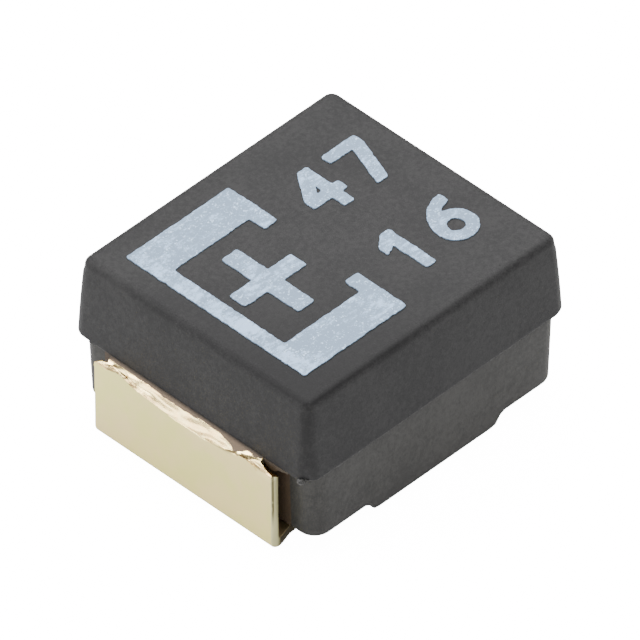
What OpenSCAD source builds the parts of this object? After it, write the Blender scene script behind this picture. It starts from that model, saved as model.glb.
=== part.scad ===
// Moulded tantalum chip capacitor in the 3528 case size.
// Origin at board level under the middle of the case.
// X runs from the anode end (-X, marked) to the cathode end (+X), Z is up.

/* [Case] */
// Length of the case at its parting line
case_l = 3.28; // [3:0.01:3.6]
// Width of the case at its parting line
case_w = 2.94; // [2.7:0.01:3.2]
// Height of the top face above the board
case_top = 1.8; // [1.7:0.01:2.2]
// Height of the parting line above the board
parting_z = 0.945; // [0.9:0.005:1]
// How far the upper half leans in from the parting line to the top
upper_inset = 0.066; // [0.02:0.002:0.1]
// Radius of the upper half's upright corners
upper_corner_r = 0.07; // [0.04:0.01:0.2]
// Radius of the edge round the top face
top_edge_r = 0.085; // [0.04:0.005:0.15]
// Break of the sharp edge along the parting line
rim_break = 0.018; // [0.005:0.001:0.04]
// How far each lower end face stands back from the rim
lower_end_set = 0.1; // [0.08:0.005:0.14]
// How far each lower side face stands back from the rim
lower_side_set = 0.02; // [0.005:0.005:0.1]
// How far the lower half leans in from the parting line to the underside
lower_inset = 0.022; // [0.01:0.002:0.1]
// Radius of the lower half's upright corners
lower_corner_r = 0.18; // [0.1:0.01:0.3]
// Radius of the edge round the underside
lower_edge_r = 0.05; // [0.02:0.005:0.1]
// Gap between the board and the pad in the middle of the underside
pad_gap = 0.05; // [0.02:0.005:0.1]
// Depth of the recess over each foot, from the pad up
foot_recess = 0.115; // [0.1:0.005:0.16]
// Length of the slope from the pad up into each recess
recess_slope = 0.12; // [0.04:0.01:0.2]

/* [Terminals] */
// Thickness of the plated strip
strip_t = 0.105; // [0.08:0.005:0.11]
// Width of the face plate and foot
plate_w = 2.18; // [2:0.01:2.4]
// Width of the neck where the strip leaves the case
neck_w = 1.88; // [1.5:0.01:1.95]
// Drop of the shoulders below the parting line
shoulder_drop = 0.06; // [0.045:0.005:0.1]
// Rise of the slope from each shoulder up to the neck
shoulder_rise = 0.04; // [0.01:0.005:0.045]
// How far the plate stands out from the rim
plate_out = 0.1; // [0.05:0.005:0.12]
// Outside radius of the bends
bend_r = 0.125; // [0.115:0.005:0.16]
// Length of each foot from the face of its plate
foot_l = 0.89; // [0.6:0.01:0.95]
// How much narrower than the plate the foot is on each side
foot_set = 0.05; // [0.01:0.005:0.1]
// Length over which the strip narrows from the plate to the foot
foot_taper = 0.22; // [0.1:0.01:0.4]
// Length of the neck inside the case
neck_in = 0.1; // [0.05:0.01:0.15]
// Width of the strip inside the case
inner_strip_w = 1.3; // [0.8:0.01:1.6]
// Length of the anode strip inside the case
anode_tab_l = 0.34; // [0.25:0.01:0.38]

/* [Pellet] */
// Length of the sintered pellet
pellet_l = 1.86; // [1.5:0.01:1.9]
// Width of the sintered pellet
pellet_w = 1.96; // [1.4:0.01:2.1]
// Height of the sintered pellet
pellet_h = 0.87; // [0.6:0.01:0.9]
// Radius of the pellet's long edges
pellet_edge_r = 0.06; // [0.02:0.01:0.12]
// Distance of the pellet's anode face from the middle of the case
pellet_face_x = 0.82; // [0.78:0.01:0.9]
// Thickness of the manganese dioxide coat
manganese_t = 0.03; // [0.02:0.001:0.04]
// Thickness of the carbon coat
carbon_t = 0.015; // [0.01:0.001:0.02]
// Thickness of the silver coat
silver_t = 0.02; // [0.01:0.001:0.03]
// How far the carbon coat stays back from the pellet's anode face
carbon_set = 0.08; // [0.04:0.01:0.2]
// How far the silver coat stays back from the end of the carbon coat
silver_set = 0.08; // [0.04:0.01:0.2]
// Diameter of the tantalum wire
wire_d = 0.24; // [0.15:0.01:0.3]
// Depth of the wire inside the pellet
wire_depth = 1.35; // [0.5:0.01:1.4]
// Distance of the wire's end from the lower end face
wire_end_set = 0.12; // [0.05:0.01:0.15]
// Depth of the weld seat of the wire in the anode strip
weld_sink = 0.03; // [0.01:0.005:0.05]
// Diameter of the washer round the wire
washer_d = 0.56; // [0.4:0.01:0.7]
// Thickness of the washer
washer_t = 0.12; // [0.08:0.01:0.16]

/* [Cathode bond] */
// Thickness of the silver adhesive under the pellet
adhesive_t = 0.03; // [0.02:0.005:0.05]
// Length of the cathode strip under the pellet
bond_l = 1.3; // [0.8:0.01:1.5]
// Gap between the pellet's cathode end and the rise of the cathode strip
rise_gap = 0.04; // [0.02:0.005:0.05]
// Margin of the adhesive inside the strip's edges
adhesive_margin = 0.06; // [0.02:0.01:0.2]

/* [Marking] */
// Thickness of the printed marks
ink_t = 0.012; // [0.008:0.001:0.03]
// Distance from the edge of the rim to the polarity bar
bracket_set = 0.34; // [0.3:0.01:0.5]
// Length of the bracket's two arms
bracket_l = 1.275; // [1.1:0.005:1.4]
// Width of the whole bracket
bracket_w = 2.2; // [2:0.01:2.3]
// Width of the polarity bar
bar_w = 0.175; // [0.1:0.005:0.2]
// Width of each arm
arm_w = 0.42; // [0.3:0.01:0.45]
// How far the tip of each arm turns inward
tip_in = 0.19; // [0.05:0.01:0.25]
// Width of each turned tip
tip_w = 0.165; // [0.1:0.005:0.25]
// Size of the plus sign along the case
plus_l = 0.77; // [0.5:0.01:0.8]
// Size of the plus sign across the case
plus_w = 0.96; // [0.6:0.01:1]
// Stroke of the plus sign
plus_stroke = 0.2; // [0.1:0.01:0.3]
// Distance of the plus sign's middle from the polarity bar
plus_set = 0.48; // [0.45:0.01:0.55]
// Height of the digits
digit_h = 0.6; // [0.45:0.01:0.65]
// Width of the digits
digit_w = 0.42; // [0.32:0.01:0.44]
// Stroke of the digits
digit_stroke = 0.125; // [0.08:0.005:0.14]
// Distance from one digit to the next
digit_pitch = 0.52; // [0.48:0.01:0.54]
// Distance of the last digit's middle from the rim
digit_set = 0.61; // [0.55:0.01:0.65]
// Distance between the two rows of digits
row_pitch = 1.08; // [0.9:0.01:1.2]
// How far the digits sit off the middle of the case
row_shift = 0.04; // [0:0.01:0.1]

/* [Hidden] */
$fn = 48;

slice = 0.001;
plate_x = case_l / 2 + plate_out;
lower_end_x = case_l / 2 - lower_end_set;
foot_tip_x = plate_x - foot_l;
bend_x = plate_x - bend_r;
neck_end_x = lower_end_x - neck_in;
recess_z = pad_gap + foot_recess;
shoulder_z = parting_z - shoulder_drop;

coats_t = manganese_t + carbon_t + silver_t;
wire_z = parting_z + wire_d / 2 - weld_sink;
wire_end_x = lower_end_x - wire_end_set;
pellet_end_x = pellet_l - pellet_face_x;
carbon_x = carbon_set - pellet_face_x;
silver_x = carbon_x + silver_set;
bond_z = wire_z - pellet_h / 2 - coats_t;
inner_pad_z = bond_z - adhesive_t - strip_t;
rise_x = pellet_end_x + coats_t + rise_gap;

bar_x = bracket_set - case_l / 2;
plus_x = bar_x + bar_w + plus_set;
digit_x = case_l / 2 - digit_set - digit_pitch / 2;

// Flat outline with four round corners
module rounded_plan(l, w, r) {
    square([l - 2 * r, w], center = true);
    square([l, w - 2 * r], center = true);
    for (sx = [-1, 1], sy = [-1, 1])
        translate([sx * (l / 2 - r), sy * (w / 2 - r)]) circle(r = r);
}

// ---- Case ----

module case_slice(l, w, inset, r, z) {
    translate([0, 0, z - slice / 2])
        linear_extrude(height = slice) rounded_plan(l - 2 * inset, w - 2 * inset, r, $fn = 32);
}

// Half of the case with leaning sides. It goes from the parting line to far_z,
// where edge_r rounds the edge; rim_r breaks the edge at the parting line.
module case_half(l, w, far_z, lean, corner_r, edge_r, rim_r) {
    steps = 5;
    out = sign(far_z - parting_z);
    hull() {
        case_slice(l, w, rim_r, corner_r, parting_z + out * slice / 2);
        case_slice(l, w, 0, corner_r, parting_z + out * (slice / 2 + rim_r));
        for (i = [0 : steps]) {
            a = 90 * i / steps;
            case_slice(l, w, lean + edge_r * (1 - cos(a)), corner_r * (1 - 0.5 * i / steps),
                       far_z - out * (slice / 2 + edge_r * (1 - sin(a))));
        }
    }
}

// Recess over the foot at the anode end, with its slope up from the pad
module foot_recess_cut() {
    slope_x = recess_slope - foot_tip_x;
    rotate([90, 0, 0])
        linear_extrude(height = 2 * case_w, center = true)
            polygon([[slope_x, pad_gap], [slope_x + slice, 0], [-case_l, 0],
                     [-case_l, recess_z], [slope_x - recess_slope, recess_z]]);
}

// One moulding round everything inside
module moulded_case() {
    color([0.34, 0.34, 0.35])
    difference() {
        union() {
            case_half(case_l, case_w, case_top, upper_inset, upper_corner_r,
                      top_edge_r, rim_break);
            case_half(case_l - 2 * lower_end_set, case_w - 2 * lower_side_set, pad_gap,
                      lower_inset, lower_corner_r, lower_edge_r, 0);
        }
        foot_recess_cut();
        mirror([1, 0, 0]) foot_recess_cut();
        pellet_block(coats_t, silver_x);
        pellet_block(manganese_t + carbon_t, carbon_x);
        pellet_block(manganese_t, -pellet_face_x - manganese_t);
        washer_form();
        wire_form();
        adhesive_form(slice);
        anode_blank();
        cathode_strip();
    }
}

// ---- Terminals ----

// Quarter of a bend in the strip, in the quadrant given by qx and qz
module strip_bend(x, z, r, qx, qz) {
    translate([x, z])
        intersection() {
            difference() {
                circle(r = r);
                circle(r = r - strip_t);
            }
            translate([qx > 0 ? 0 : -r, qz > 0 ? 0 : -r]) square(r);
        }
}

// Straight run of the strip between two corners
module strip_run(x0, z0, x1, z1) {
    translate([x0, z0]) square([x1 - x0, z1 - z0]);
}

module strip_extrude(w) {
    rotate([90, 0, 0]) linear_extrude(height = w, center = true) children();
}

// Neck, face plate and foot at the anode end, folded from one strip
module outer_strip() {
    difference() {
        strip_extrude(plate_w) {
            strip_run(-bend_x, parting_z - strip_t, -neck_end_x, parting_z);
            strip_bend(-bend_x, parting_z - bend_r, bend_r, -1, 1);
            strip_run(-plate_x, bend_r, strip_t - plate_x, parting_z - bend_r);
            strip_bend(-bend_x, bend_r, bend_r, -1, -1);
            strip_run(-bend_x, 0, -foot_tip_x, strip_t);
        }
        shoulder_cut();
        mirror([0, 1, 0]) shoulder_cut();
        foot_trim();
        mirror([0, 1, 0]) foot_trim();
    }
}

// Metal stamped away beside the neck, down to the sloping shoulder
module shoulder_cut() {
    past = plate_w / 2 + strip_t;
    slope = shoulder_rise / (plate_w - neck_w) * 2;
    rotate([90, 0, -90])
        linear_extrude(height = 2 * case_l, center = true)
            polygon([[-neck_w / 2, parting_z + strip_t],
                     [-neck_w / 2, shoulder_z + shoulder_rise],
                     [-past, shoulder_z - strip_t * slope],
                     [-past, parting_z + strip_t]]);
}

// Metal stamped away beside the foot, from the inner face of the plate inwards
module foot_trim() {
    start_x = strip_t - plate_x;
    edge_y = foot_set - plate_w / 2;
    linear_extrude(height = 4 * bend_r, center = true)
        polygon([[start_x, -plate_w / 2], [start_x + foot_taper, edge_y], [0, edge_y],
                 [0, -plate_w], [start_x, -plate_w]]);
}

// The folded strip before the wire's seat is pressed into its inner end
module anode_blank() {
    outer_strip();
    strip_extrude(inner_strip_w)
        strip_run(-neck_end_x, parting_z - strip_t, anode_tab_l - lower_end_x, parting_z);
}

// The strip drops from the parting line and runs in under the pellet
module cathode_strip() {
    mirror([1, 0, 0]) outer_strip();
    strip_extrude(inner_strip_w) {
        strip_run(rise_x + bend_r, parting_z - strip_t, neck_end_x, parting_z);
        strip_bend(rise_x + bend_r, parting_z - bend_r, bend_r, -1, 1);
        strip_run(rise_x, inner_pad_z + bend_r, rise_x + strip_t, parting_z - bend_r);
        strip_bend(rise_x + strip_t - bend_r, inner_pad_z + bend_r, bend_r, 1, -1);
        strip_run(rise_x - bond_l, inner_pad_z, rise_x + strip_t - bend_r, inner_pad_z + strip_t);
    }
}

module anode_terminal() {
    color([0.85, 0.82, 0.72])
    difference() {
        anode_blank();
        wire_form();
    }
}

module cathode_terminal() {
    color([0.85, 0.82, 0.72]) cathode_strip();
}

// ---- Pellet and its coats ----

// The pellet's form grown by a coat of thickness t, starting at x0
module pellet_block(t, x0) {
    translate([x0, 0, wire_z])
        rotate([90, 0, 90])
            linear_extrude(height = pellet_end_x + t - x0)
                rounded_plan(pellet_w + 2 * t, pellet_h + 2 * t, pellet_edge_r + t);
}

module tantalum_pellet() {
    color([0.42, 0.43, 0.46])
    difference() {
        pellet_block(0, -pellet_face_x);
        wire_form();
    }
}

module wire_form() {
    translate([-wire_end_x, 0, wire_z])
        rotate([0, 90, 0]) cylinder(d = wire_d, h = wire_end_x - pellet_face_x + wire_depth);
}

module tantalum_wire() {
    color([0.6, 0.61, 0.64]) wire_form();
}

module washer_form() {
    translate([-pellet_face_x - washer_t, 0, wire_z])
        rotate([0, 90, 0]) cylinder(d = washer_d, h = washer_t);
}

module wire_washer() {
    color([0.95, 0.95, 0.93])
    difference() {
        washer_form();
        wire_form();
    }
}

// Closed all round but for the hole that the washer fills
module manganese_coat() {
    color([0.12, 0.11, 0.11])
    difference() {
        pellet_block(manganese_t, -pellet_face_x - manganese_t);
        pellet_block(0, -pellet_face_x);
        washer_form();
    }
}

module carbon_coat() {
    color([0.2, 0.2, 0.21])
    difference() {
        pellet_block(manganese_t + carbon_t, carbon_x);
        pellet_block(manganese_t, -pellet_face_x);
    }
}

module silver_coat() {
    color([0.78, 0.78, 0.77])
    difference() {
        pellet_block(coats_t, silver_x);
        pellet_block(manganese_t + carbon_t, -pellet_face_x);
    }
}

// The adhesive, reaching past both of its faces by over
module adhesive_form(over) {
    x0 = rise_x - bond_l + adhesive_margin;
    w = inner_strip_w - 2 * adhesive_margin;
    translate([x0, -w / 2, bond_z - adhesive_t - over])
        cube([pellet_end_x - x0, w, adhesive_t + 2 * over]);
}

module silver_adhesive() {
    color([0.7, 0.7, 0.69]) adhesive_form(0);
}

// ---- Marking ----

module ink() {
    color([0.82, 0.84, 0.87])
        translate([0, 0, case_top]) linear_extrude(height = ink_t) children();
}

// Bar across the anode end with an arm and a turned tip on each side
module polarity_bracket() {
    inner_w = bracket_w - 2 * arm_w;
    ink()
        translate([bar_x, 0])
            difference() {
                translate([0, -bracket_w / 2]) square([bracket_l, bracket_w]);
                translate([bar_w, -inner_w / 2]) square([bracket_l - bar_w - tip_w, inner_w]);
                translate([bar_w, tip_in - inner_w / 2]) square([bracket_l, inner_w - 2 * tip_in]);
            }
}

module plus_sign() {
    ink()
        translate([plus_x, 0]) {
            square([plus_l, plus_stroke], center = true);
            square([plus_stroke, plus_w], center = true);
        }
}

module digit_one() {
    left = -digit_stroke / 2;
    flag = digit_w * 0.3;
    top = digit_h / 2;
    polygon([[left, -top], [left, top - flag / 2 - digit_stroke],
             [left - flag, top - flag - digit_stroke], [left - flag, top - flag],
             [left + flag * 0.2, top], [-left, top], [-left, -top]]);
}

module digit_four() {
    left = -digit_w / 2;
    post_x = digit_w / 2 - digit_stroke * 1.6;
    cross_y0 = -digit_h * 0.24;
    cross_y1 = cross_y0 + digit_stroke;
    slope = (digit_h / 2 - cross_y1) / (post_x - left);
    counter_x = left + digit_stroke * 1.3;
    difference() {
        polygon([[left, cross_y0], [left, cross_y1], [post_x, digit_h / 2],
                 [post_x + digit_stroke, digit_h / 2], [post_x + digit_stroke, cross_y1],
                 [-left, cross_y1], [-left, cross_y0], [post_x + digit_stroke, cross_y0],
                 [post_x + digit_stroke, -digit_h / 2], [post_x, -digit_h / 2],
                 [post_x, cross_y0]]);
        polygon([[counter_x, cross_y1], [post_x, cross_y1],
                 [post_x, cross_y1 + (post_x - counter_x) * slope]]);
    }
}

module digit_six() {
    bowl_r = digit_w / 2;
    stem_r = digit_h - bowl_r;
    translate([0, bowl_r - digit_h / 2]) {
        difference() {
            circle(r = bowl_r);
            circle(r = bowl_r - digit_stroke);
        }
        translate([stem_r - bowl_r, 0])
            intersection() {
                difference() {
                    circle(r = stem_r);
                    circle(r = stem_r - digit_stroke);
                }
                translate([-stem_r, 0]) square(stem_r);
            }
    }
}

module digit_seven() {
    side = digit_w / 2;
    top = digit_h / 2;
    polygon([[-side, top], [side, top], [side, top - digit_stroke],
             [digit_stroke * 0.3, -top], [-digit_stroke * 0.8, -top],
             [side - digit_stroke * 1.15, top - digit_stroke], [-side, top - digit_stroke]]);
}

// Two plain figures in each of two rows
module rating_digits() {
    ink()
        translate([digit_x, -row_shift]) {
            translate([-digit_pitch / 2, row_pitch / 2]) digit_four();
            translate([digit_pitch / 2, row_pitch / 2]) digit_seven();
            translate([-digit_pitch / 2, -row_pitch / 2]) digit_one();
            translate([digit_pitch / 2, -row_pitch / 2]) digit_six();
        }
}

moulded_case();
anode_terminal();
cathode_terminal();
tantalum_pellet();
tantalum_wire();
wire_washer();
manganese_coat();
carbon_coat();
silver_coat();
silver_adhesive();
polarity_bracket();
plus_sign();
rating_digits();
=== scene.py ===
"""Looks of the moulded tantalum chip capacitor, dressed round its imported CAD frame.

Sizes are in millimetres up to the moment a mesh is made. X runs from the anode end to the
cathode end, Z is up, and the board is at Z = 0, as in the CAD frame.
"""

import math

import bmesh
import bpy
from mathutils import Matrix, Vector, noise


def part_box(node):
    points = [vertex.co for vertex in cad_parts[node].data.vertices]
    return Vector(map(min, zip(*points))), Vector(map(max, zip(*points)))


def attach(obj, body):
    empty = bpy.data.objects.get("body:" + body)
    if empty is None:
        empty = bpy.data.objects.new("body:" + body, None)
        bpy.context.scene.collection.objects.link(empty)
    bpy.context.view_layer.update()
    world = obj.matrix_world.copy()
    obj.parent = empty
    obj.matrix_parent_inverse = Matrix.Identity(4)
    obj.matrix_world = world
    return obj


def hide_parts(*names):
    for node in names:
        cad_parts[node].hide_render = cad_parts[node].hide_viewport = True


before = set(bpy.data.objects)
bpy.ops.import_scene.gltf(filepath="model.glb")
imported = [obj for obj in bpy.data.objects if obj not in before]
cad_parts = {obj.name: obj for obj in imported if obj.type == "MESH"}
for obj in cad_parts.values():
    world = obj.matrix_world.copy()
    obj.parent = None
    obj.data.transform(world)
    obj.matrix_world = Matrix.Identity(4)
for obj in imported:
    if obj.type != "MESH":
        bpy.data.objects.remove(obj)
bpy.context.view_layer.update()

MM = 0.001


def box_mm(node):
    """Lowest and highest corners of a CAD node, in millimetres."""
    low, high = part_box(node)
    return Vector(low) / MM, Vector(high) / MM


def part_way(start, end, share):
    """The point that lies a share of the way from start to end."""
    return tuple(a + (b - a) * share for a, b in zip(start, end))


def wander(*place):
    """Smooth noise from -1 to 1 at a place. It is the same in each run."""
    return noise.noise(Vector(place))


# ---- Sizes ----

case_low, case_high = box_mm("moulded_case")
anode_low, anode_high = box_mm("anode_terminal")
cathode_low = box_mm("cathode_terminal")[0]
bracket_low, bracket_high = box_mm("polarity_bracket")

CASE_HALF_L = case_high.x
CASE_HALF_W = case_high.y
CASE_TOP = case_high.z
PAD_Z = case_low.z
PARTING_Z = anode_high.z
UPPER_INSET = 0.066
UPPER_CORNER_R = 0.11
RIM_CORNER_R = 0.17
TOP_EDGE_R = 0.095
RIM_BREAK = 0.018
LOWER_END_SET = 0.1
LOWER_SIDE_SET = 0.02
LOWER_INSET = 0.022
LOWER_CORNER_R = 0.18
LOWER_EDGE_R = 0.05
FOOT_RECESS = 0.115
RECESS_SLOPE = 0.12

PLATE_X = -anode_low.x
PLATE_HALF_W = anode_high.y
STRIP_T = 0.105
BEND_R = 0.125
NECK_HALF_W = 0.94
NECK_END_X = CASE_HALF_L - LOWER_END_SET - 0.1
INNER_HALF_W = 0.65
FOOT_L = 0.89
FOOT_SET = 0.05
FOOT_TAPER = 0.22
RISE_X = 1.145
PELLET_TAB_Z = 0.4

INK_T = bracket_high.z - bracket_low.z


# ---- Colours, as linear red, green, blue and alpha ----

UPPER_DARK, UPPER_PALE = (0.0205, 0.0202, 0.0208, 1), (0.0325, 0.0318, 0.0322, 1)
# Lower half painted paler: painted light bounced up from the floor on to the lower half of the case
LOWER_FLOOR_LIT_DARK, LOWER_FLOOR_LIT_PALE = (0.037, 0.0362, 0.0345, 1), (0.059, 0.0575, 0.0545, 1)
# Painted reflection: brown on the lower end faces behind the strips, a painted warm reflection of the
# plating in the shaded gap
GAP_REFLECTION_BROWN = (0.078, 0.054, 0.036, 1)
# Painted shade: the top and its edge darken towards the front corner
FRONT_CORNER_SHADE = (0.010, 0.0097, 0.0103, 1)
FILLER_PALE = (0.07, 0.07, 0.072, 1)
FLASH_DARK, FLASH_PALE = (0.03, 0.03, 0.03, 1), (0.09, 0.088, 0.085, 1)
BLED_DARK, BLED_PALE = (0.058, 0.044, 0.032, 1), (0.078, 0.061, 0.048, 1)
BLED_THIN = (0.21, 0.15, 0.10, 1)
PLATING_COOL, PLATING_WARM = (0.80, 0.74, 0.27, 1), (0.86, 0.72, 0.33, 1)
# Painted highlight: pale, warm colours for the upward-facing pressed flat of the bend
BEND_HIGHLIGHT_PALE, BEND_HIGHLIGHT_WARM = (0.98, 0.77, 0.36, 1), (0.96, 0.67, 0.30, 1)
CUT_METAL = (0.80, 0.76, 0.42, 1)
SHEAR_DARK = (0.16, 0.14, 0.07, 1)
# Painted shade in the crease under the pressed flat
CREASE_SHADE = (0.22, 0.19, 0.07, 1)
# Painted shade on the tops of the feet under the case
FOOT_SHADE = (0.22, 0.15, 0.08, 1)
# Painted shade on the strip's cut sides under the case
FOOT_SIDE_SHADE = (0.05, 0.03, 0.015, 1)
INK_THICK, INK_THIN, INK_SPECK = (
    (0.42, 0.59, 0.83, 1), (0.22, 0.305, 0.42, 1), (0.56, 0.74, 0.98, 1))
FLOOR_UNSEEN, FLOOR_SEEN = (0.02, 0.02, 0.02, 1), (1.0, 1.0, 1.0, 1)

# ---- Where a finish changes: each runs from where it starts to where it is full ----

BELOW_PARTING = (PARTING_Z, PARTING_Z - 0.01)
GAP_REFLECTION_X = (CASE_HALF_L - 0.15, CASE_HALF_L - 0.12)
GAP_REFLECTION_Y = (PLATE_HALF_W + 0.06, PLATE_HALF_W + 0.045)
FRONT_CORNER_SHADE_Z = (CASE_TOP - 0.05, CASE_TOP - 0.02)
FRONT_CORNER_SHADE_RUN = (0.0, -2.9)
BLED_THIN_X = (CASE_HALF_L - 0.002, CASE_HALF_L + 0.032)
BLED_THIN_Y = (0.97, 0.92)
CUT_FACING = (0.6, 0.95)
PRESSED_HIGHLIGHT_FACING = (0.25, 0.45)
PRESSED_HIGHLIGHT_Z = (PARTING_Z - 0.155, PARTING_Z - 0.125)
SHEAR_INNER_X = (PLATE_X - 0.050, PLATE_X - 0.041)
SHEAR_OUTER_X = (PLATE_X - 0.010, PLATE_X - 0.018)
SHEAR_Z = (0.25, 0.5)
FOOT_SHADE_FACING = (0.3, 0.8)
FOOT_SHADE_Z = (0.22, 0.14)
FOOT_SIDE_SHADE_X = (PLATE_X - STRIP_T + 0.03, PLATE_X - STRIP_T - 0.03)
HEAVY_INK_X = (-1.12, -1.18)


# ---- Node materials ----


class Sock:
    """A socket in a material, so that shader maths reads as plain sums."""

    def __init__(self, tree, socket):
        self.tree = tree
        self.socket = socket

    def maths(self, operation, *values):
        """Adds a Math node on these sockets and numbers."""
        return self.node("ShaderNodeMath", {"operation": operation}, values)

    def node(self, kind, settings=None, inputs=(), output=0):
        """Adds any node. inputs is a tuple in socket order or a dict by socket name."""
        made = self.tree.nodes.new(kind)
        for name, value in (settings or {}).items():
            setattr(made, name, value)
        pairs = inputs.items() if isinstance(inputs, dict) else enumerate(inputs)
        for key, value in pairs:
            if isinstance(value, Sock):
                self.tree.links.new(value.socket, made.inputs[key])
            else:
                made.inputs[key].default_value = value
        return Sock(self.tree, made.outputs[output])

    def __add__(self, other):
        return self.maths("ADD", self, other)

    def __radd__(self, other):
        return self.maths("ADD", other, self)

    def __sub__(self, other):
        return self.maths("SUBTRACT", self, other)

    def __rsub__(self, other):
        return self.maths("SUBTRACT", other, self)

    def __mul__(self, other):
        return self.maths("MULTIPLY", self, other)

    def __rmul__(self, other):
        return self.maths("MULTIPLY", other, self)

    def __abs__(self):
        return self.maths("ABSOLUTE", self)

    def clamp(self):
        """This, held between 0 and 1."""
        return self.node("ShaderNodeClamp", None, (self, 0.0, 1.0))

    def between(self, low, high):
        """0 at low, 1 at high, smooth between them."""
        return self.node(
            "ShaderNodeMapRange",
            {"interpolation_type": "SMOOTHSTEP"},
            {"Value": self, "From Min": low, "From Max": high, "To Min": 0.0, "To Max": 1.0},
        )

    def blend(self, color_a, color_b):
        """Colour a where this is 0 and colour b where it is 1."""
        return self.node(
            "ShaderNodeMix",
            {"data_type": "RGBA"},
            {0: self, 6: color_a, 7: color_b},
            output=2,
        )


class Finish:
    """A new material: its shader, and object coordinates in millimetres."""

    def __init__(self, name, **fixed):
        self.material = bpy.data.materials.new(name)
        self.material.use_nodes = True
        self.tree = self.material.node_tree
        self.shader = self.tree.nodes["Principled BSDF"]
        for socket, value in fixed.items():
            self.shader.inputs[socket.replace("_", " ")].default_value = value
        self.start = Sock(self.tree, None)
        place = self.start.node("ShaderNodeTexCoord", output=3)
        self.place = self.start.node(
            "ShaderNodeVectorMath", {"operation": "SCALE"}, {0: place, "Scale": 1 / MM}
        )

    def axis(self, index):
        """Place along one axis, in millimetres."""
        return self.start.node("ShaderNodeSeparateXYZ", None, (self.place,), output=index)

    def stretched(self, *factors):
        """The place with each axis scaled, to draw a texture out along the others."""
        return self.start.node(
            "ShaderNodeVectorMath", {"operation": "MULTIPLY"}, (self.place, factors)
        )

    def noise(self, size, detail=2.0, roughness=0.5, place=None):
        """Soft noise whose lumps are about size millimetres across."""
        return self.start.node(
            "ShaderNodeTexNoise",
            None,
            {"Vector": place or self.place, "Scale": 1 / size, "Detail": detail,
             "Roughness": roughness},
        )

    def cells(self, size):
        """Distance from the nearest of scattered points that lie about size millimetres apart."""
        return self.start.node(
            "ShaderNodeTexVoronoi", None, {"Vector": self.place, "Scale": 1 / size}
        )

    def facing(self, index):
        """How far the surface points along one axis, from -1 to 1."""
        normal = self.start.node("ShaderNodeNewGeometry", output=1)
        return self.start.node("ShaderNodeSeparateXYZ", None, (normal,), output=index)

    def use(self, socket, value):
        """Links a value to one of the shader's sockets."""
        self.tree.links.new(value.socket, self.shader.inputs[socket])

    def bump(self, height, depth_mm, strength):
        """Raises the surface where height is 1, by depth_mm at full strength."""
        bumped = self.start.node(
            "ShaderNodeBump", None,
            {"Strength": strength, "Distance": depth_mm * MM, "Height": height},
        )
        self.use("Normal", bumped)


def epoxy_moulding():
    """Dark filled epoxy with the fine grain of a spark-eroded mould. Its lower half is painted paler, as
    painted light bounced up from the floor; it also carries painted shade towards the front corner of
    the top and a painted brown reflection of the plating behind the strips.
    """
    f = Finish("epoxy_moulding", Specular_IOR_Level=0.16)
    grain = f.noise(0.014, 3.0, 0.6)
    pits = f.noise(0.05, 2.0, 0.5)
    clouds = f.noise(0.6, 3.0, 0.55)
    filler = f.cells(0.02).between(0.2, 0.06)
    shade = (clouds * 0.35 + grain * 0.35 + pits * 0.3).between(0.40, 0.60)
    upper = shade.blend(UPPER_DARK, UPPER_PALE)
    # Painted light: the lower half's paler colours stand in for light bounced up from the floor
    lower = shade.blend(LOWER_FLOOR_LIT_DARK, LOWER_FLOOR_LIT_PALE)
    below = f.axis(2).between(*BELOW_PARTING)
    body = below.blend(upper, lower)
    # Painted reflection: the lower end faces behind each strip are painted brown, as if lit by the
    # plating across the shaded gap
    gap_reflection = abs(f.axis(0)).between(*GAP_REFLECTION_X) * abs(f.axis(1)).between(*GAP_REFLECTION_Y) * below
    body = (gap_reflection * 0.97).blend(body, GAP_REFLECTION_BROWN)
    # Painted shade: the top and its rounded edge are painted darker towards the front corner
    corner = (f.axis(0) + f.axis(1)).between(*FRONT_CORNER_SHADE_RUN)
    body = (f.axis(2).between(*FRONT_CORNER_SHADE_Z) * corner * 0.8).blend(body, FRONT_CORNER_SHADE)
    body = (filler * pits.between(0.5, 0.7) * 0.4).blend(body, FILLER_PALE)
    f.use("Base Color", body)
    f.use("Roughness", 0.45 + grain * 0.10 + clouds * 0.08)
    f.bump(grain * 0.7 + pits * 0.5, 0.004, 0.6)
    return f.material


def resin_flash():
    """Broken edge of thin squeezed-out resin, paler than the moulded skin."""
    f = Finish("resin_flash", Specular_IOR_Level=0.3)
    chips = f.noise(0.02, 3.0, 0.6)
    f.use("Base Color", chips.between(0.35, 0.65).blend(FLASH_DARK, FLASH_PALE))
    f.use("Roughness", 0.5 + chips * 0.2)
    f.bump(chips, 0.004, 0.6)
    return f.material


def bled_resin():
    """Thin resin over metal: brown where it thins out, dark where it fills the notch."""
    f = Finish("bled_resin", Specular_IOR_Level=0.25)
    speck = f.noise(0.02, 3.0, 0.6)
    patch = f.noise(0.12, 2.0, 0.6)
    thin = abs(f.axis(0)).between(*BLED_THIN_X) * abs(f.axis(1)).between(*BLED_THIN_Y)
    tone = speck.blend(BLED_DARK, BLED_PALE)
    tone = (thin * (0.55 + patch)).clamp().blend(tone, BLED_THIN)
    f.use("Base Color", tone)
    f.use("Roughness", 0.5 + speck * 0.2)
    f.bump(speck, 0.003, 0.5)
    return f.material


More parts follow.
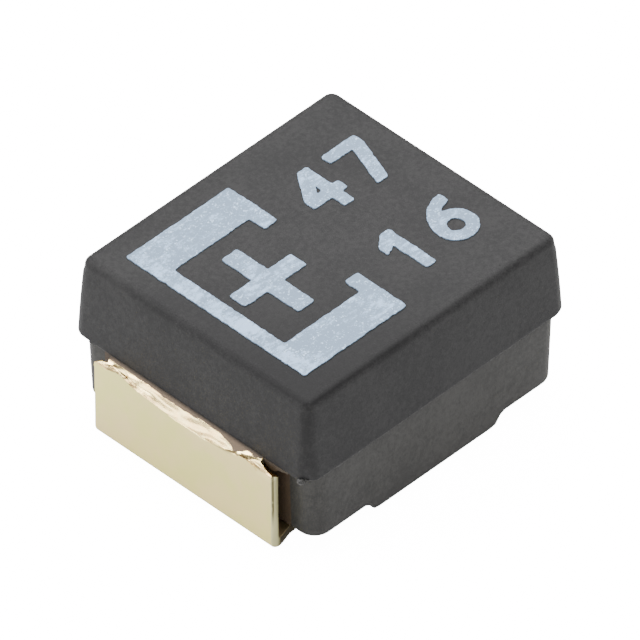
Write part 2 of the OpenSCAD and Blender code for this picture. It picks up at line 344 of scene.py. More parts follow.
def plated_strip():
    """Satin plating over rolled strip, with paler cut edges and dark shear marks on them. It carries a
    painted pale highlight on the pressed flat of the bend, and painted shade in the crease under it, on
    the tops of the feet and on the strip's sides under the case.
    """
    f = Finish("plated_strip")
    rolled = f.noise(0.03, 2.0, 0.6, f.stretched(6.0, 0.35, 6.0))
    haze = f.noise(0.4, 3.0, 0.6)
    grain = f.noise(0.012, 2.0, 0.6)
    reach = abs(f.axis(0))
    cut = abs(f.facing(1)).between(*CUT_FACING)
    tint = haze.between(0.35, 0.65).blend(PLATING_COOL, PLATING_WARM)
    smeared = f.noise(0.06, 3.0, 0.6, f.stretched(1.0, 0.6, 1.0))
    # Painted highlight: where the pressed flat of the bend faces up it is painted pale and warm,
    # standing in for the bright reflection there; the same mask also lowers the roughness
    bend_highlight = smeared.between(0.4, 0.62).blend(BEND_HIGHLIGHT_PALE, BEND_HIGHLIGHT_WARM)
    pressed = f.facing(2).between(*PRESSED_HIGHLIGHT_FACING) * f.axis(2).between(*PRESSED_HIGHLIGHT_Z)
    tint = pressed.blend(tint, bend_highlight)
    tint = cut.blend(tint, CUT_METAL)
    torn = f.noise(0.05, 3.0, 0.7, f.stretched(1.0, 1.0, 0.3))
    shear = cut * reach.between(*SHEAR_INNER_X) * reach.between(*SHEAR_OUTER_X)
    shear = shear * f.axis(2).between(*SHEAR_Z) * torn.between(0.30, 0.42)
    tint = (shear * 0.85).blend(tint, SHEAR_DARK)
    # Painted shade: the crease under the pressed flat is darkened where its mesh mark says
    fold = f.start.node("ShaderNodeAttribute", {"attribute_name": "crease"}, output=2)
    tint = (fold * 0.85).clamp().blend(tint, CREASE_SHADE)
    # Painted shade: the upward faces of the feet under the case are painted dark brown and made
    # non-metallic
    shaded = f.facing(2).between(*FOOT_SHADE_FACING) * f.axis(2).between(*FOOT_SHADE_Z)
    tint = (shaded * 0.9).blend(tint, FOOT_SHADE)
    f.use("Metallic", 1 - shaded)
    # Painted shade: the strip's cut sides under the case are painted near black
    foot_side_shade = cut * reach.between(*FOOT_SIDE_SHADE_X)
    tint = (foot_side_shade * 0.95).blend(tint, FOOT_SIDE_SHADE)
    f.use("Base Color", tint)
    f.use("Roughness", 0.30 + rolled * 0.08 + haze * 0.06 + cut * 0.1 - pressed * 0.14)
    f.bump(rolled * 0.5 + grain * 0.5 + smeared * pressed * 0.4, 0.0016, 0.5)
    return f.material


def marking_ink():
    """Pale blue-white ink, heavier in places, with fine greyer streaks along the case."""
    f = Finish("marking_ink", IOR=1.45)
    streaks = f.noise(0.045, 3.0, 0.65, f.stretched(0.45, 1.0, 1.0))
    speck = f.noise(0.03, 3.0, 0.7)
    drift = f.noise(0.32, 2.0, 0.5)
    heavy = f.axis(0).between(*HEAVY_INK_X)
    thin = streaks * 0.4 + speck * 0.35 + drift * 0.35 - heavy * 0.07
    thin = thin.between(0.43, 0.55)
    tone = thin.blend(INK_THICK, INK_THIN)
    tone = speck.between(0.56, 0.68).blend(tone, INK_SPECK)
    f.use("Base Color", tone)
    f.use("Roughness", 0.62 + speck * 0.2)
    f.bump(speck * 0.5 + streaks * 0.5, 0.004, 0.6)
    return f.material


def plain_finish(name, color, rough, grain_mm, metallic=0.0, depth_mm=0.003):
    """A simple grained finish for the pieces sealed in the moulding."""
    f = Finish(name, Metallic=metallic)
    grain = f.noise(grain_mm, 3.0, 0.6)
    clouds = f.noise(grain_mm * 9, 2.0, 0.5)
    low = tuple(c * 0.75 for c in color) + (1,)
    high = tuple(min(c * 1.2, 1.0) for c in color) + (1,)
    f.use("Base Color", (grain * 0.6 + clouds * 0.4).between(0.35, 0.65).blend(low, high))
    f.use("Roughness", rough - 0.06 + grain * 0.12)
    f.bump(grain, depth_mm, 0.6)
    return f.material


# ---- Mesh helpers ----


def make_piece(name, verts, faces, finish, node, smooth_deg=40, creases=None):
    """Makes a closed mesh from millimetre points and hangs it in place of a CAD node."""
    mesh = bpy.data.meshes.new(name)
    mesh.from_pydata([Vector(v) * MM for v in verts], [], faces)
    if creases:
        mesh.attributes.new("crease", "FLOAT", "POINT").data.foreach_set("value", creases)
    work = bmesh.new()
    work.from_mesh(mesh)
    bmesh.ops.remove_doubles(work, verts=work.verts, dist=1e-8)
    bmesh.ops.recalc_face_normals(work, faces=work.faces)
    work.to_mesh(mesh)
    work.free()
    mesh.materials.append(finish)
    mesh.shade_smooth()
    mesh.set_sharp_from_angle(angle=math.radians(smooth_deg))
    piece = bpy.data.objects.new(name, mesh)
    bpy.context.collection.objects.link(piece)
    settle = piece.modifiers.new("flat_faces", "WEIGHTED_NORMAL")
    settle.keep_sharp = True
    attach(piece, "root")
    if node:
        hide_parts(node)
    return piece


def skin(rings, size, rings_meet=False, ring_closed=True):
    """Faces between rings of size points each, numbered ring by ring."""
    faces = []
    for i in range(rings if rings_meet else rings - 1):
        a, b = i * size, (i + 1) % rings * size
        for k in range(size if ring_closed else size - 1):
            m = (k + 1) % size
            faces.append((a + k, b + k, b + m, a + m))
    return faces


def arc(steps):
    """Angles from 0 to a quarter turn."""
    return [math.pi / 2 * i / steps for i in range(steps + 1)]


def divided(loop, step):
    """A closed loop with more points, about step apart."""
    points = []
    for start, end in zip(loop, loop[1:] + loop[:1]):
        steps = max(int(math.dist(start, end) / step), 1)
        points += [part_way(start, end, i / steps) for i in range(steps)]
    return points


# ---- Moulded case ----

CORNER_STEPS = 12
SIDE_STEPS = 46
LOWER_EDGE_STEPS = 6
RIM_STEPS = 4
TOP_EDGE_STEPS = 8
WALL_SHARES = (0.05, 0.09, 0.2, 0.4, 0.6, 0.8)


def recess_shape(x):
    """Height of the underside at x: the pad, the soft slope and the recess over each foot."""
    edge = PLATE_X - FOOT_L - RECESS_SLOPE
    t = min(max((abs(x) - edge) / RECESS_SLOPE, 0.0), 1.0)
    return PAD_Z + FOOT_RECESS * (3 * t * t - 2 * t ** 3)


def plan_ring(half_l, half_w, r):
    """Round-cornered rectangle as a closed loop. It starts at the -X end of the -X -Y corner."""
    corners = [(-1, -1, math.pi), (1, -1, 1.5 * math.pi), (1, 1, 0.0), (-1, 1, 0.5 * math.pi)]
    middles = [(sx * (half_l - r), sy * (half_w - r)) for sx, sy, _ in corners]
    loop = []
    for index, (_, _, turn) in enumerate(corners):
        cx, cy = middles[index]
        for a in arc(CORNER_STEPS):
            loop.append((cx + r * math.cos(turn + a), cy + r * math.sin(turn + a)))
        following = (index + 1) % 4
        fx, fy = middles[following]
        turn = corners[following][2]
        end = (fx + r * math.cos(turn), fy + r * math.sin(turn))
        start = loop[-1]
        loop += [part_way(start, end, i / SIDE_STEPS) for i in range(1, SIDE_STEPS)]
    return loop


CHIP_AT = (-CASE_HALF_L + 0.042, -CASE_HALF_W + 0.06, PARTING_Z + 0.025)
CHIP_R = 0.06
CHIP_DEPTH = 0.024


def chipped(x, y, z):
    """Moves a rim point inwards at the small chip beside the front corner."""
    away = math.dist((x, y, z), CHIP_AT) / CHIP_R
    depth = CHIP_DEPTH * max(1 - away * away, 0.0)
    length = math.hypot(x, y)
    return x - x / length * depth, y - y / length * depth, z


def case_rings():
    """Loops of the case from the underside to the top, one list of points each."""
    low_l, low_w = CASE_HALF_L - LOWER_END_SET, CASE_HALF_W - LOWER_SIDE_SET
    depth = PARTING_Z - PAD_Z
    rings = []
    for a in arc(LOWER_EDGE_STEPS):
        inset, rise = LOWER_EDGE_R * (1 - math.sin(a)), LOWER_EDGE_R * (1 - math.cos(a))
        ring = plan_ring(low_l - LOWER_INSET - inset, low_w - LOWER_INSET - inset,
                         LOWER_CORNER_R - inset * 0.5)
        lifted = []
        for x, y in ring:
            z = recess_shape(x) + rise
            grow = LOWER_INSET * (z - PAD_Z - rise) / depth
            lifted.append((x * (1 + grow / low_l), y * (1 + grow / low_w), z))
        rings.append(lifted)
    rings.append([(x, y, PARTING_Z) for x, y in plan_ring(low_l, low_w, LOWER_CORNER_R)])
    for a in arc(RIM_STEPS):
        inset = RIM_BREAK * (1 - math.sin(a))
        z = PARTING_Z + RIM_BREAK * (1 - math.cos(a))
        ring = plan_ring(CASE_HALF_L - inset, CASE_HALF_W - inset, RIM_CORNER_R)
        rings.append([chipped(x, y, z) for x, y in ring])
    tall = CASE_TOP - PARTING_Z
    for share in WALL_SHARES:
        inset = UPPER_INSET * share
        r = UPPER_CORNER_R + (RIM_CORNER_R - UPPER_CORNER_R) * (1 - share) ** 2
        ring = plan_ring(CASE_HALF_L - inset, CASE_HALF_W - inset, r)
        rings.append([chipped(x, y, PARTING_Z + tall * share) for x, y in ring])
    for a in arc(TOP_EDGE_STEPS):
        inset = UPPER_INSET + TOP_EDGE_R * (1 - math.cos(a))
        z = CASE_TOP - TOP_EDGE_R * (1 - math.sin(a))
        r = UPPER_CORNER_R * (1 - 0.5 * a / (math.pi / 2))
        ring = plan_ring(CASE_HALF_L - inset, CASE_HALF_W - inset, r)
        rings.append([(x, y, z) for x, y in ring])
    return rings


def underside(count):
    """Strips across the lowest ring from one long side to the other, and the two ends."""
    faces = []
    side = CORNER_STEPS + SIDE_STEPS
    near = list(range(0, CORNER_STEPS + side + 1))
    far = [(3 * side + CORNER_STEPS - i) % count for i in near]
    for k in range(1, len(near) - 2):
        faces.append((near[k], far[k], far[k + 1], near[k + 1]))
    faces.append((near[1], near[0], *range(count - 1, far[0], -1), far[0], far[1]))
    faces.append((near[-2], near[-1], *range(near[-1] + 1, far[-1]), far[-1], far[-2]))
    return faces


def moulded_case(finish):
    """The epoxy case, both halves as one closed skin."""
    rings = case_rings()
    count = len(rings[0])
    verts = [point for ring in rings for point in ring]
    top = (len(rings) - 1) * count
    faces = skin(len(rings), count) + [tuple(range(top, top + count))] + underside(count)
    return make_piece("case", verts, faces, finish, "moulded_case")


# ---- Parting-line flash ----

FLASH_STEP = 0.016
FLASH_DEEP = 0.016
FLASH_PROUD = 0.002
FLASH_REACH = 0.004
FLASH_RIPPLE = 0.003
FLASH_LUMP = 0.05


def flash_reach(s, seed):
    """How far the fin of squeezed-out resin stands down at s millimetres along the line."""
    fine = wander(s * 9.0, seed, 0)
    lump = max(wander(s * 2.3, seed + 7, 0) - 0.28, 0.0)
    ragged = max(wander(s * 14, seed, 3) + 0.3, 0)
    return FLASH_REACH + FLASH_RIPPLE * fine + FLASH_LUMP * lump * ragged


def parting_flash(finish):
    """Thin ragged fin of resin where the two halves of the mould met."""
    ring = plan_ring(CASE_HALF_L - RIM_BREAK, CASE_HALF_W - RIM_BREAK * 0.4, RIM_CORNER_R)
    fine = divided(ring, FLASH_STEP)
    verts = []
    along = 0.0
    for i, (x, y) in enumerate(fine):
        along += math.hypot(x - fine[i - 1][0], y - fine[i - 1][1]) if i else 0.0
        reach = flash_reach(along, 4.0)
        in_x, in_y = x * (1 - FLASH_DEEP / CASE_HALF_L), y * (1 - FLASH_DEEP / CASE_HALF_W)
        top = PARTING_Z + RIM_BREAK * 0.7
        verts += [(x, y, top), (x * (1 + FLASH_PROUD), y * (1 + FLASH_PROUD), PARTING_Z - reach * 0.4),
                  (in_x, in_y, PARTING_Z - reach), (in_x, in_y, top)]
    faces = skin(len(fine), 4, rings_meet=True)
    return make_piece("parting_flash", verts, faces, finish, None, smooth_deg=35)


# ---- Terminals ----

COLUMNS = 110
BURR_R = 0.012
BURR_STEPS = 4
MID_R = BEND_R - STRIP_T / 2
RUN_STEPS = 14
BEND_STEPS = 30
BEND_X = PLATE_X - BEND_R
BEND_Z = PARTING_Z - BEND_R
FLAT_TOP = math.radians(66)
FLAT_FOOT = math.radians(12)
CREASE_DEPTH = 0.007
CREASE_SPREAD = math.radians(7)
NECK_FLARE = 0.02
DISH_DEPTH = 0.003
DISH_MARGIN = 0.1
DISH_FROM_Z = 0.15
OUTER_SIDE = 0.9

# Half widths of the neck by height, on its two sides
NECK_LEFT = [(0.870, 1.105), (0.892, 1.105), (0.899, 1.053), (0.909, 1.0),
             (0.936, 0.922), (0.945, 0.915)]
NECK_RIGHT = [(0.866, 1.078), (0.888, 1.042), (0.902, 1.015), (0.911, 0.975),
              (0.915, 0.944), (0.925, 0.955), (0.936, 0.962), (0.945, 0.968)]

# By place along the end: the height of the pressed flat's lower edge, how deep the crease
# under it is, and how much of the bend was pressed
FLAT_EDGE = [(-0.97, 0.930), (-0.835, 0.908), (-0.65, 0.880), (-0.5, 0.850), (-0.44, 0.843),
             (-0.24, 0.823), (0.15, 0.822), (0.3, 0.836), (0.45, 0.853), (0.845, 0.915),
             (0.97, 0.930)]
CREASE_RUN = [(-0.68, 0), (-0.55, 1), (-0.2, 0.9), (0.1, 0.2), (0.3, 0)]
PRESSED_RUN = [(-0.96, 0), (-0.90, 1), (0.86, 1), (0.93, 0)]


def smooth(t):
    """0 to 1 with level ends."""
    t = min(max(t, 0.0), 1.0)
    return t * t * (3 - 2 * t)


def through(points, at):
    """Smooth curve through (place, value) points."""
    if at <= points[0][0]:
        return points[0][1]
    for (x0, v0), (x1, v1) in zip(points, points[1:]):
        if at <= x1:
            return v0 + (v1 - v0) * smooth((at - x0) / (x1 - x0))
    return points[-1][1]


def fold(corners):
    """Middle line of a folded strip. Gives (x, z, heading, turned, share) for each station."""
    line = []
    last = corners[0]
    for k in range(1, len(corners)):
        here = corners[k]
        heading = math.atan2(here[1] - last[1], here[0] - last[0])
        end, turn = here, 0.0
        if k < len(corners) - 1:
            after = corners[k + 1]
            turn = math.atan2(after[1] - here[1], after[0] - here[0]) - heading
            turn = (turn + math.pi) % (2 * math.pi) - math.pi
            end = (here[0] - math.cos(heading) * MID_R, here[1] - math.sin(heading) * MID_R)
        for i in range(RUN_STEPS + 1):
            t = i / RUN_STEPS
            line.append((last[0] + (end[0] - last[0]) * t, last[1] + (end[1] - last[1]) * t,
                         heading, 0.0, k))
        if turn:
            s = math.copysign(1, turn)
            cx, cz = end[0] - math.sin(heading) * MID_R * s, end[1] + math.cos(heading) * MID_R * s
            for i in range(1, BEND_STEPS):
                a = heading + turn * i / BEND_STEPS
                line.append((cx + math.sin(a) * MID_R * s, cz - math.cos(a) * MID_R * s,
                             a, i / BEND_STEPS, k))
            last = (cx + math.sin(heading + turn) * MID_R * s,
                    cz - math.cos(heading + turn) * MID_R * s)
    return line


def neck_half_width(z, sign):
    """Half width of the strip by the height of its outer face, from the plate up to the neck."""
    return through(NECK_LEFT if sign < 0 else NECK_RIGHT, z)


def half_width(x, z, sign):
    """Half the width of the strip where its middle line passes x, z."""
    if z < STRIP_T:
        t = smooth((PLATE_X - STRIP_T - x) / FOOT_TAPER)
        return neck_half_width(z, sign) - FOOT_SET * t
    if x < NECK_END_X + NECK_FLARE:
        t = min(max((x - NECK_END_X) / NECK_FLARE, 0.0), 1.0)
        return INNER_HALF_W + (NECK_HALF_W - INNER_HALF_W) * t
    return neck_half_width(z + STRIP_T / 2 if z > BEND_Z else z, sign)


def flat_foot(y):
    """Height of the lower edge of the flat that the punch left on the bend."""
    return max(through(FLAT_EDGE, y) + 0.007 * wander(y * 9, 2.0, 0), BEND_Z + 0.001)


def crease(y):
    """Depth of the crease under the pressed flat, by place along the end."""
    return CREASE_DEPTH * through(CREASE_RUN, y)


def pressed_bend(angle, y):
    """Outer face of the top bend at an angle up from the plate: a round, a flat and the plate."""
    round_x, round_z = BEND_X + BEND_R * math.cos(angle), BEND_Z + BEND_R * math.sin(angle)
    hold = through(PRESSED_RUN, y)
    if angle >= FLAT_TOP or hold <= 0:
        return round_x, round_z
    return part_way((round_x, round_z), pressed_flat(angle, y), hold)


def pressed_flat(angle, y):
    """The punched part of the bend: a crease in the plate and the flat above it."""
    foot = flat_foot(y)
    if angle < FLAT_FOOT:
        t = angle / FLAT_FOOT
        return PLATE_X - crease(y) * t * t, BEND_Z + (foot - BEND_Z) * t
    x1, z1 = BEND_X + BEND_R * math.cos(FLAT_TOP), BEND_Z + BEND_R * math.sin(FLAT_TOP)
    t = (FLAT_TOP - angle) / (FLAT_TOP - FLAT_FOOT)
    swell = 0.006 * wander(y * 7, angle * 2, 1.0) * math.sin(t * math.pi)
    x0 = PLATE_X - crease(y)
    return x1 + (x0 - x1) * t - swell - 0.002 * (1 - t) * t, z1 + (foot - z1) * t - swell


def strip_section():
    """Points round the strip's section: share of the half width, reach past it, and side."""
    shape = [(2 * i / COLUMNS - 1, 0.0, 1.0) for i in range(COLUMNS + 1)]
    drop = BURR_R / (STRIP_T / 2)
    shape += [(1.0, BURR_R * math.sin(a), 1.0 - (1 - math.cos(a)) * drop) for a in arc(BURR_STEPS)[1:]]
    shape += [(1.0, BURR_R * math.cos(a), -1.0 + (1 - math.sin(a)) * drop) for a in arc(BURR_STEPS)[:-1]]
    shape += [(1 - 2 * i / COLUMNS, 0.0, -1.0) for i in range(COLUMNS + 1)]
    shape += [(-1.0, BURR_R * math.sin(a), -1.0 + (1 - math.cos(a)) * drop) for a in arc(BURR_STEPS)[1:]]
    shape += [(-1.0, BURR_R * math.cos(a), 1.0 - (1 - math.sin(a)) * drop) for a in arc(BURR_STEPS)[:-1]]
    return shape


def dish(y, z, seed):
    """How far the plate is dished in at a place on its outer face, easing out at its ends."""
    low, high = DISH_FROM_Z, PARTING_Z - BEND_R
    if not low < z < high:
        return 0.0
    ease = min(z - low, high - z, DISH_MARGIN) / DISH_MARGIN
    return DISH_DEPTH * ease * (1 + wander(y * 1.1, z * 1.4, seed)) * 0.5


def terminal(name, node, end, corners, finish, seed):
    """Folded terminal at one end of the case. end is -1 for the anode and 1 for the cathode."""
    line = fold(corners)
    top_bend = len(corners) - 3
    verts, creases = [], []
    shape = strip_section()
    for share, over, side in shape:
        sign = math.copysign(1, share)
        for x, z, a, turned, corner in line:
            w = half_width(x, z, sign)
            along = share * w * -end
            outside = None
            if corner == top_bend and turned and x > NECK_END_X + 1.5 * NECK_FLARE:
                outside = pressed_bend((1 - turned) * math.pi / 2, along)
                w = neck_half_width(outside[1], sign)
            y = share * (w - BURR_R) + sign * over
            push = side * STRIP_T / 2
            px, pz = x - math.sin(a) * push, z + math.cos(a) * push
            if outside and side > 0:
                px, pz = part_way((px, pz), outside, side)
            if side > OUTER_SIDE:
                px -= dish(y, z, seed)
            verts.append((px * end, y, pz))
            # These values mark where the crease's painted shade goes, through the crease attribute
            near = 1 - abs((1 - turned) * math.pi / 2 - FLAT_FOOT) / CREASE_SPREAD
            creases.append(max(near, 0.0) * crease(along) / CREASE_DEPTH
                           if outside and side > OUTER_SIDE else 0.0)
    stations, count = len(line), len(shape)
    faces = skin(count, stations, rings_meet=True, ring_closed=False)
    faces.append(tuple(i * stations for i in range(count)))
    faces.append(tuple(i * stations + stations - 1 for i in range(count)))
    return make_piece(name, verts, faces, finish, node, smooth_deg=50, creases=creases)


# ---- Resin left on the strips and at the rim ----

BLEED_FROM_Y = -1.22
BLEED_STEP = 0.01
BLEED_COUNT = 220
BLEED_BACK_X = CASE_HALF_L - 0.06
BLEED_RIM_X = CASE_HALF_L + 0.001
BLEED_BACK_Z = PARTING_Z + 0.01
BLEED_RIM_Z = PARTING_Z + 0.008
BLEED_SHARES = (0.33, 0.67, 1.0)

# By place along the end: how far out the resin lies, and how low it hangs in the notch
BLEED_EDGE = [(-0.93, 1.655), (-0.89, 1.66), (-0.85, 1.676), (-0.76, 1.660), (-0.70, 1.694),
              (-0.64, 1.722), (-0.57, 1.690), (-0.4, 1.668), (0.0, 1.674), (0.2, 1.676),
              (0.5, 1.668), (0.95, 1.668)]
NOTCH_FILL = [(-1.22, 0.94), (-1.12, 0.90), (-1.03, 0.855), (-0.92, 0.87)]


def bleed_reach(y):
    """How far out the thin resin lies on the bend, by place along the end."""
    return through(BLEED_EDGE, y) + 0.005 * wander(y * 16, 5.0, 0)


def bend_height(x, y):
    """Height of the pressed bend where it is x from the middle of the part."""
    low, high = FLAT_FOOT, math.pi / 2
    for _ in range(20):
        middle = (low + high) / 2
        if pressed_bend(middle, y)[0] > x:
            low = middle
        else:
            high = middle
    return pressed_bend(low, y)[1]


def resin_on_neck(y):
    """Section of the resin where it lies on the strip: eight points, x and z."""
    out = bleed_reach(y)
    loop = [(BLEED_BACK_X, BLEED_BACK_Z), (BLEED_RIM_X, BLEED_RIM_Z)]
    for t in BLEED_SHARES:
        x = BLEED_RIM_X + (out - BLEED_RIM_X) * t
        loop.append((x, bend_height(x, y) + 0.007 - 0.005 * t))
    return loop + [(out - 0.006, bend_height(out, y) - 0.012),
                   (BLEED_RIM_X, PARTING_Z - 0.02), (BLEED_BACK_X, PARTING_Z - 0.015)]


def resin_in_notch(y):
    """Section of the resin that fills the notch beside the neck: eight points, x and z."""
    low, lip = through(NOTCH_FILL, y), PARTING_Z - 0.005
    return [(BLEED_BACK_X, BLEED_BACK_Z), (CASE_HALF_L, BLEED_RIM_Z), (BLEED_RIM_X, lip),
            (BLEED_RIM_X - 0.004, (lip + low) / 2), (BLEED_RIM_X - 0.009, low + 0.006),
            (BLEED_RIM_X - 0.021, low), (BLEED_BACK_X - 0.02, low), (BLEED_BACK_X - 0.04, low)]


def resin_bleed(name, end, finish):
    """Thin resin that ran from the rim on to the neck of one strip and into its notch."""
    verts = []
    for i in range(BLEED_COUNT):
        y = BLEED_FROM_Y + i * BLEED_STEP
        loop = resin_on_neck(y) if y > -NECK_HALF_W + 0.02 else resin_in_notch(y)
        verts += [(x * end, y * -end, z) for x, z in loop]
    size = len(loop)
    faces = skin(BLEED_COUNT, size)
    faces.append(tuple(range(size)))
    faces.append(tuple(range(len(verts) - size, len(verts))))
    return make_piece(name, verts, faces, finish, None, smooth_deg=50)


# Middle x and y, half length along the rim, half thickness and half height of each nib
NIBS = [(-1.625, -1.365, 0.042, 0.034, 0.03), (-1.23, -1.452, 0.045, 0.012, 0.018),
        (-0.98, -1.452, 0.03, 0.013, 0.02), (0.9, -1.452, 0.05, 0.012, 0.018),
        (-1.625, 1.21, 0.04, 0.018, 0.018), (1.625, -0.6, 0.05, 0.015, 0.018),
        (0.4, 1.452, 0.04, 0.012, 0.018)]
NIB_ROWS = 6
NIB_TURNS = 10
NIB_DROP = 0.004


def flash_nibs(finish):
    """Small lumps of resin left where the fin broke away at the parting line."""
    verts, faces = [], []
    for cx, cy, wide, thick, tall in NIBS:
        base = len(verts)
        half_x, half_y = (wide, thick) if abs(cy) > abs(cx) else (thick, wide)
        for r in range(1, NIB_ROWS):
            up = math.pi * r / NIB_ROWS
            for k in range(NIB_TURNS):
                a = math.tau * k / NIB_TURNS
                grow = 1 + 0.25 * wander(cx * 9 + k, cy * 9, r)
                verts.append((cx + half_x * grow * math.sin(up) * math.cos(a),
                              cy + half_y * grow * math.sin(up) * math.sin(a),
                              PARTING_Z - NIB_DROP + tall * grow * math.cos(up)))
        faces += [tuple(base + i for i in face) for face in skin(NIB_ROWS - 1, NIB_TURNS)]
        faces.append(tuple(range(base, base + NIB_TURNS)))
        faces.append(tuple(range(len(verts) - NIB_TURNS, len(verts))))
    return make_piece("flash_nibs", verts, faces, finish, None, smooth_deg=60)


# ---- Printed marks ----

TOP_FACING = 0.9
EDGE_STEP = 0.011
EDGE_WANDER = 0.011
EDGE_WAVE = 0.06
EDGE_FRAY = 0.02
EDGE_SOFTENINGS = 5


def outlines(node):
    """Outlines of the top of a CAD mark, each a closed loop of millimetre points."""
    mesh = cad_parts[node].data
    work = bmesh.new()
    work.from_mesh(mesh)
    bmesh.ops.remove_doubles(work, verts=work.verts, dist=1e-8)
    top = [face for face in work.faces if face.normal.z > TOP_FACING]
    follow = {}
    for face in top:
        for loop in face.loops:
            if sum(other in top for other in loop.edge.link_faces) == 1:
                follow[loop.vert.index] = loop.link_loop_next.vert.index
    work.verts.ensure_lookup_table()
    loops = []
    while follow:
        loop = []
        here = next(iter(follow))
        while here in follow:
            loop.append((work.verts[here].co.x / MM, work.verts[here].co.y / MM))
            here = follow.pop(here)
        loops.append(loop)
    work.free()
    return loops


def printed_edge(loop, seed):
    """The loop as ink leaves it: soft corners and a slow uneven edge."""
    points = divided(loop, EDGE_STEP)
    count = len(points)
    for _ in range(EDGE_SOFTENINGS):
        points = [((points[i - 1][0] + 2 * x + points[(i + 1) % count][0]) / 4,
                   (points[i - 1][1] + 2 * y + points[(i + 1) % count][1]) / 4)
                  for i, (x, y) in enumerate(points)]
    out = []
    for i, (x, y) in enumerate(points):
        (ax, ay), (bx, by) = points[i - 1], points[(i + 1) % count]
        length = math.hypot(bx - ax, by - ay) or 1.0
        nx, ny = (by - ay) / length, (ax - bx) / length
        slow = wander(x / EDGE_WAVE, y / EDGE_WAVE, seed)
        fast = wander(x / EDGE_FRAY, y / EDGE_FRAY, seed + 5)
        push = EDGE_WANDER * (0.7 * slow + 0.35 * fast - 0.1)
        out.append((x + nx * push, y + ny * push))
    return out


def printed(name, node, finish, seed):
    """Thin ink film over a CAD mark's outlines, holes included."""
    curve = bpy.data.curves.new(name + "_outline", "CURVE")
    curve.dimensions = "2D"
    curve.fill_mode = "BOTH"
    curve.extrude = INK_T / 2 * MM
    for loop in outlines(node):
        points = printed_edge(loop, seed)
        spline = curve.splines.new("POLY")
        spline.points.add(len(points) - 1)
        for point, (x, y) in zip(spline.points, points):
            point.co = (x * MM, y * MM, 0, 1)
        spline.use_cyclic_u = True
    shape = bpy.data.objects.new(name + "_outline", curve)
    bpy.context.collection.objects.link(shape)
    graph = bpy.context.evaluated_depsgraph_get()
    mesh = bpy.data.meshes.new_from_object(shape.evaluated_get(graph))
    verts = [(v.co.x / MM, v.co.y / MM, v.co.z / MM + CASE_TOP + INK_T / 2) for v in mesh.vertices]
    faces = [tuple(p.vertices) for p in mesh.polygons]
    bpy.data.objects.remove(shape)
    return make_piece(name, verts, faces, finish, node, smooth_deg=30)


def dress_hidden_pieces():
    """Gives the solids that are sealed in the case their own finishes."""
    finishes = {
        "tantalum_pellet": plain_finish("sintered_tantalum", (0.13, 0.135, 0.15), 0.7, 0.02, 0.6),
        "tantalum_wire": plain_finish("drawn_tantalum", (0.33, 0.34, 0.37), 0.35, 0.01, 1.0, 0.001),
        "wire_washer": plain_finish("white_fluoropolymer", (0.86, 0.86, 0.83), 0.5, 0.05),
        "manganese_coat": plain_finish("manganese_dioxide", (0.018, 0.016, 0.015), 0.85, 0.015),
        "carbon_coat": plain_finish("graphite_paint", (0.035, 0.035, 0.038), 0.6, 0.02),
        "silver_coat": plain_finish("silver_paint", (0.58, 0.58, 0.56), 0.5, 0.015, 0.7),
        "silver_adhesive": plain_finish("silver_resin", (0.5, 0.5, 0.48), 0.55, 0.02, 0.6),
    }
    for node, finish in finishes.items():
        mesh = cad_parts[node].data
        mesh.materials.clear()
        mesh.materials.append(finish)


# ---- Studio ----

VIEW_AZIMUTH = -45.13
VIEW_ELEVATION = 42.4
VIEW_ROLL = -0.37
VIEW_DISTANCE = 193.5 * MM
VIEW_WIDTH = 5.627 * MM
VIEW_AIM_HEIGHT = 1.05 * MM
VIEW_DROP = 0.0984 * MM


def make_camera():
    """Long-lens camera that looks down on the front corner."""
    a, e, roll = (math.radians(v) for v in (VIEW_AZIMUTH, VIEW_ELEVATION, VIEW_ROLL))
    back = Vector((math.sin(a) * math.cos(e), -math.cos(a) * math.cos(e), math.sin(e)))
    level = (-back).cross(Vector((0, 0, 1))).normalized()
    upright = level.cross(-back)
    right = level * math.cos(roll) + upright * math.sin(roll)
    up = upright * math.cos(roll) - level * math.sin(roll)
    data = bpy.data.cameras.new("camera")
    data.sensor_width = 36
    data.lens = data.sensor_width * VIEW_DISTANCE / VIEW_WIDTH
    data.clip_start = VIEW_DISTANCE / 10
    data.clip_end = VIEW_DISTANCE * 10
    camera = bpy.data.objects.new("camera", data)
    place = Vector((0, 0, VIEW_AIM_HEIGHT)) + back * VIEW_DISTANCE - up * VIEW_DROP
    camera.matrix_world = Matrix.Translation(place) @ Matrix((right, up, back)).transposed().to_4x4()
    bpy.context.collection.objects.link(camera)
    bpy.context.scene.camera = camera


def make_light(name, place, aim, size, power):
    """Square soft box. Places and size are in millimetres, power in watts."""
    data = bpy.data.lights.new(name, "AREA")
    data.shape = "SQUARE"
    data.size = size * MM
    data.energy = power
    light = bpy.data.objects.new(name, data)
    light.location = Vector(place) * MM
    light.rotation_mode = "QUATERNION"
    light.visible_camera = False
    light.rotation_quaternion = (Vector(aim) - Vector(place)).to_track_quat("-Z", "Y")
    bpy.context.collection.objects.link(light)


FLOOR_GLOW = 15.0
FLOOR_HALF = 400 * MM
FLOOR_GAP = 0.008 * MM
WORLD_GLOW = 0.38


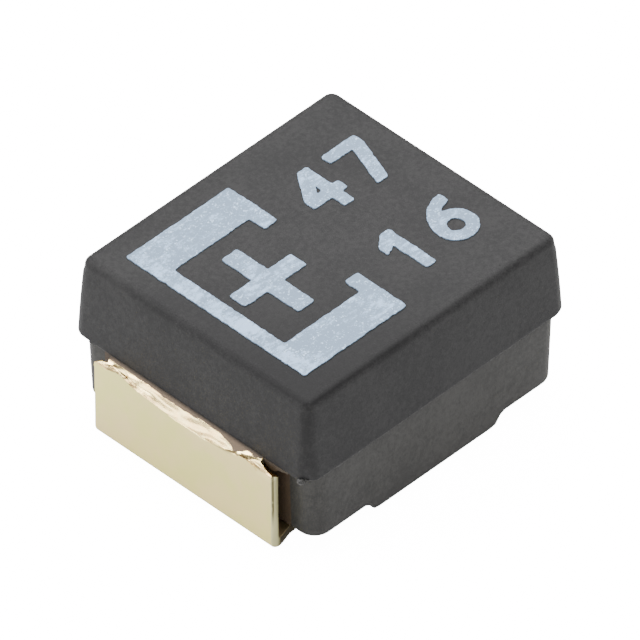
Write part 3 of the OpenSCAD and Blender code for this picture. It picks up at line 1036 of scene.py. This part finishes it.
def make_floor():
    """Pale sheet under the part. It lets light through from below, so the underside shows."""
    corners = [(-1, -1), (1, -1), (1, 1), (-1, 1)]
    mesh = bpy.data.meshes.new("floor")
    mesh.from_pydata([(x * FLOOR_HALF, y * FLOOR_HALF, -FLOOR_GAP) for x, y in corners],
                     [], [(0, 1, 2, 3)])
    floor = bpy.data.objects.new("floor", mesh)
    bpy.context.collection.objects.link(floor)
    f = Finish("white_sweep", Base_Color=(0.8, 0.8, 0.8, 1), Roughness=0.9,
               Emission_Strength=FLOOR_GLOW)
    seen = f.start.node("ShaderNodeLightPath")
    f.use("Emission Color", seen.blend(FLOOR_UNSEEN, FLOOR_SEEN))
    from_below = f.start.node("ShaderNodeNewGeometry", output=6)
    clear = f.start.node("ShaderNodeBsdfTransparent")
    sheet = Sock(f.tree, f.shader.outputs[0])
    mixed = f.start.node("ShaderNodeMixShader", None, (from_below, sheet, clear))
    f.tree.links.new(mixed.socket, f.tree.nodes["Material Output"].inputs["Surface"])
    mesh.materials.append(f.material)


def make_world():
    """Even white light from all round."""
    world = bpy.data.worlds.new("studio")
    bpy.context.scene.world = world
    world.use_nodes = True
    backdrop = world.node_tree.nodes["Background"]
    backdrop.inputs["Color"].default_value = (1, 1, 1, 1)
    backdrop.inputs["Strength"].default_value = WORLD_GLOW


# ---- Make it all ----

make_camera()
make_world()
make_floor()
make_light("top_box", (8, 3, 30), (0, 0, 0), 40, 0.0247)
make_light("back_box", (15.6, 15.6, 20.2), (0, 0, 1), 20, 0.001)
make_light("end_box", (-20, 23, 29), (0, 0, 1), 14, 0.0088)
make_light("end_card", (-33, 21, 12), (0, 0, 1), 13.5, 0.0038)

moulded_case(epoxy_moulding())
parting_flash(resin_flash())
flash_nibs(resin_flash())
bled = bled_resin()
resin_bleed("anode_bleed", -1, bled)
resin_bleed("cathode_bleed", 1, bled)

plating = plated_strip()
neck_z = PARTING_Z - STRIP_T / 2
outer = [(PLATE_X - STRIP_T / 2, neck_z), (PLATE_X - STRIP_T / 2, STRIP_T / 2),
         (PLATE_X - FOOT_L, STRIP_T / 2)]
terminal("anode_strip", "anode_terminal", -1, [(-anode_high.x, neck_z)] + outer, plating,
         seed=3.0)
rise = RISE_X + STRIP_T / 2
tab_z = PELLET_TAB_Z + STRIP_T / 2
terminal("cathode_strip", "cathode_terminal", 1,
         [(cathode_low.x, tab_z), (rise, tab_z), (rise, neck_z)] + outer, plating,
         seed=8.0)

ink = marking_ink()
printed("bracket_print", "polarity_bracket", ink, seed=5.0)
printed("plus_print", "plus_sign", ink, seed=6.0)
printed("digits_print", "rating_digits", ink, seed=7.0)
dress_hidden_pieces()
